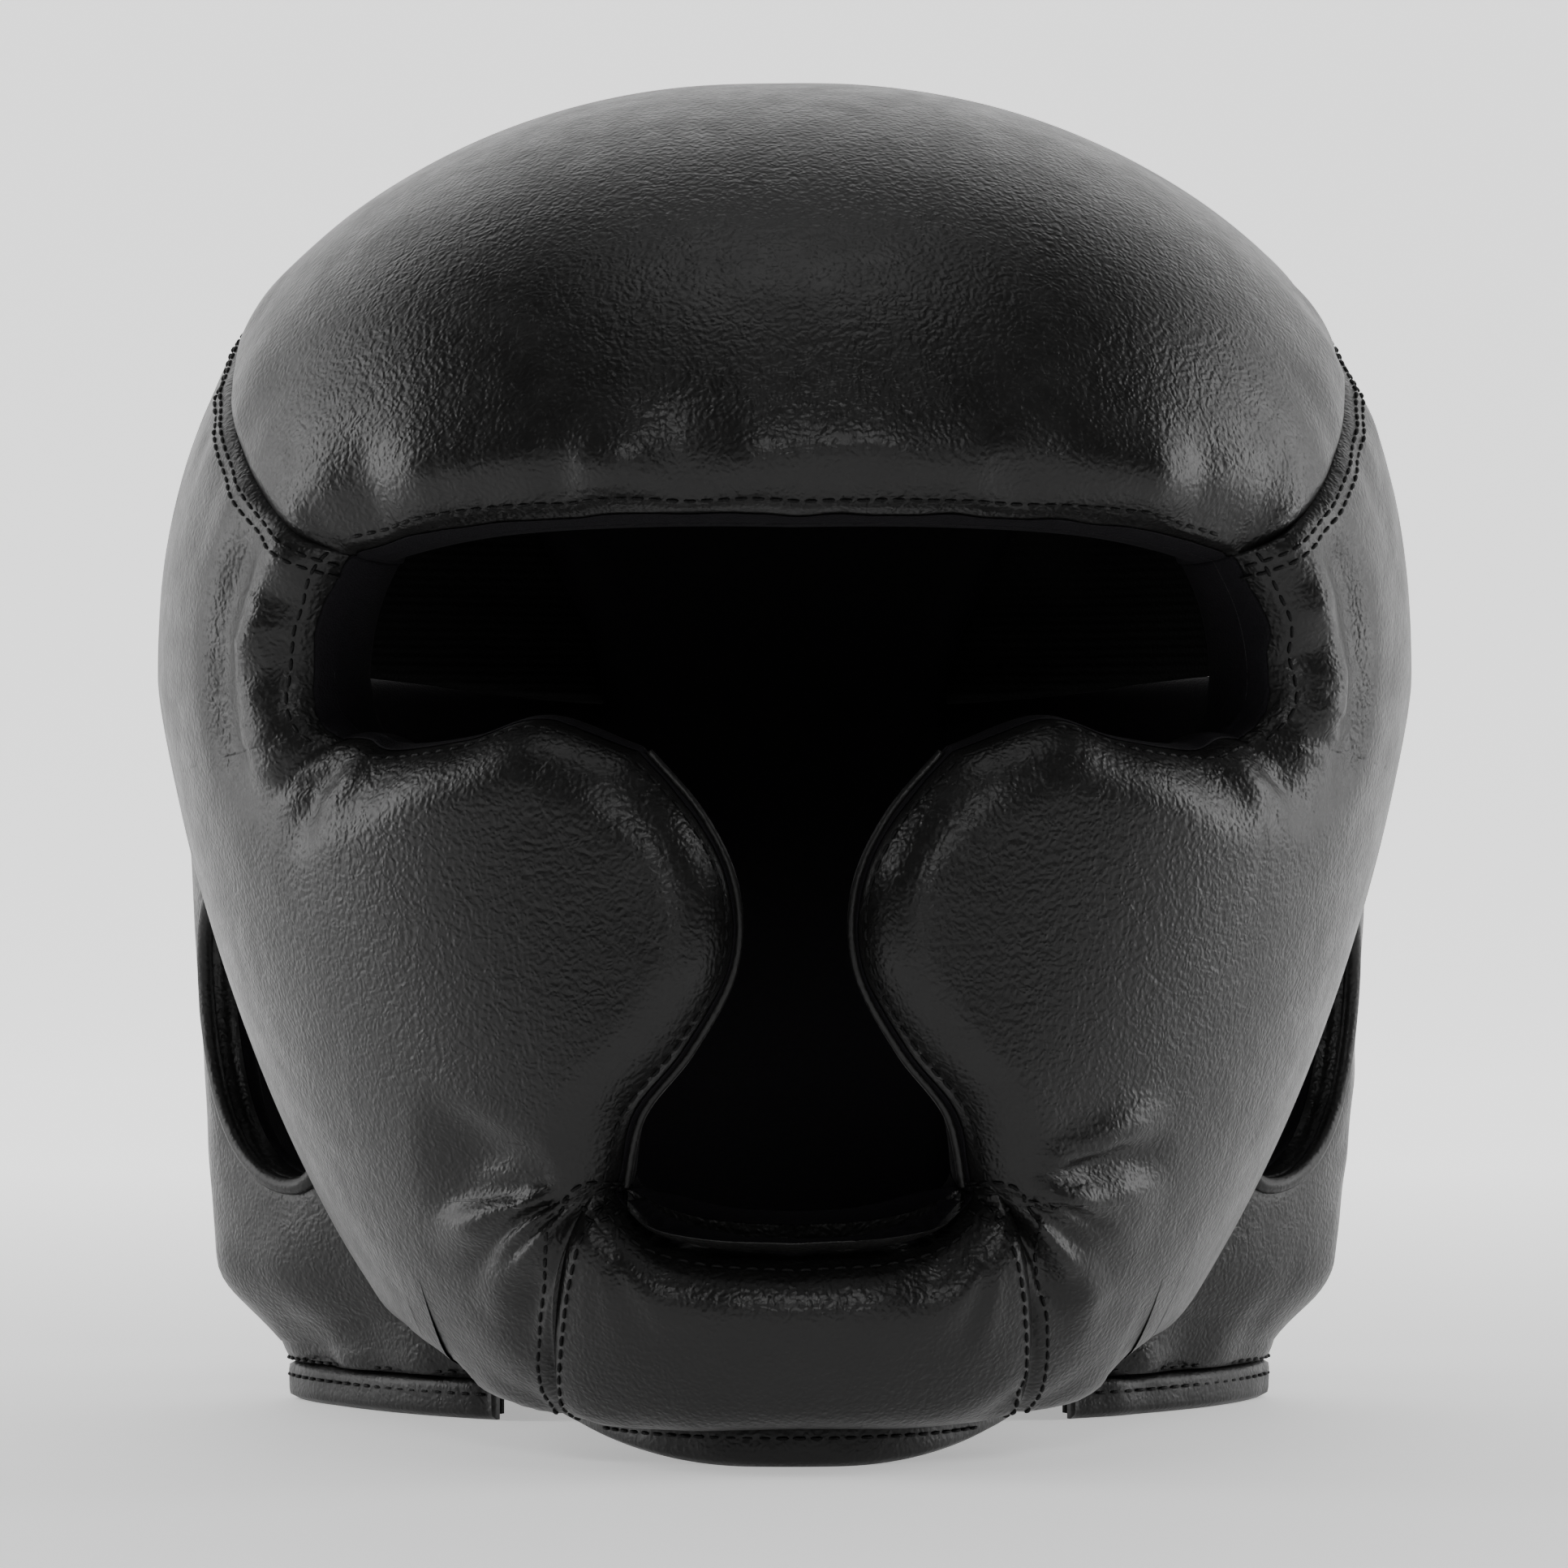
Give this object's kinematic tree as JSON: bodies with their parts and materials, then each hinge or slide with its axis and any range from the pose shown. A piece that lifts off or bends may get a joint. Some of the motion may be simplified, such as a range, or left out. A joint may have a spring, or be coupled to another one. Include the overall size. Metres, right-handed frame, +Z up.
{
  "type": "boxing headgear",
  "caption": "Full-face padded leather headgear with a closed crown, cheek and chin guards, swinging ear wings and a rear hook-and-loop strap.",
  "frame": {"origin": "on the plane that the hems stand on, under the middle of the whole headgear's box", "axes": "+Z up to the crown, the face opening looks along -Y, +X to the right as seen from the front"},
  "size_m": [0.2374, 0.2519, 0.2545],
  "materials": {
    "leather": "pebbled black synthetic leather, satin",
    "leather_trim": "black leather binding, satin",
    "lining": "smooth black lining",
    "foam": "closed-cell grey foam",
    "webbing": "black woven webbing",
    "hook_and_loop": "black hook-and-loop tape",
    "elastic": "matt black elastic"
  },
  "bodies": {
    "shell": {"forehead_cover": "leather", "forehead_foam": "foam", "forehead_lining": "lining", "crown_cover": "leather", "crown_foam": "foam", "crown_lining": "lining", "back_cover": "leather", "back_foam": "foam", "back_lining": "lining", "chin_cover": "leather", "chin_foam": "foam", "chin_lining": "lining", "chin_hem": "leather_trim", "left_side_cover": "leather", "right_side_cover": "leather", "left_temple_foam": "foam", "right_temple_foam": "foam", "left_cheek_foam": "foam", "right_cheek_foam": "foam", "left_side_lining": "lining", "right_side_lining": "lining", "left_lobe_binding": "leather_trim", "right_lobe_binding": "leather_trim", "nape_loop": "hook_and_loop", "loop_strap": "webbing", "loop_patch": "hook_and_loop"},
    "left_wing": {"left_wing_cover": "leather", "left_wing_foam": "foam", "left_wing_lining": "lining", "left_ear_trim": "leather_trim", "left_hem_band": "leather_trim", "left_hem_elastic": "elastic", "left_nape_hook": "hook_and_loop"},
    "right_wing": {"right_wing_cover": "leather", "right_wing_foam": "foam", "right_wing_lining": "lining", "right_ear_trim": "leather_trim", "right_hem_band": "leather_trim", "right_hem_elastic": "elastic", "right_nape_hook": "hook_and_loop"},
    "closure": {"closure_strap": "webbing", "hook_patch": "hook_and_loop"}
  },
  "joints": [
    {"name": "right_wing_swing", "type": "hinge", "parent": "shell", "child": "right_wing", "pos_m": [0.104, 0.03, 0.08], "axis": [0, 0, -1], "range_deg": [0, 35]},
    {"name": "left_wing_swing", "type": "hinge", "parent": "shell", "child": "left_wing", "pos_m": [-0.104, 0.03, 0.08], "axis": [0, 0, 1], "range_deg": [0, 35]},
    {"name": "closure_strap_peel", "type": "hinge", "parent": "shell", "child": "closure", "pos_m": [0.095, 0.0668, 0.164], "axis": [0, 0, -1], "range_deg": [0, 70]}
  ]
}
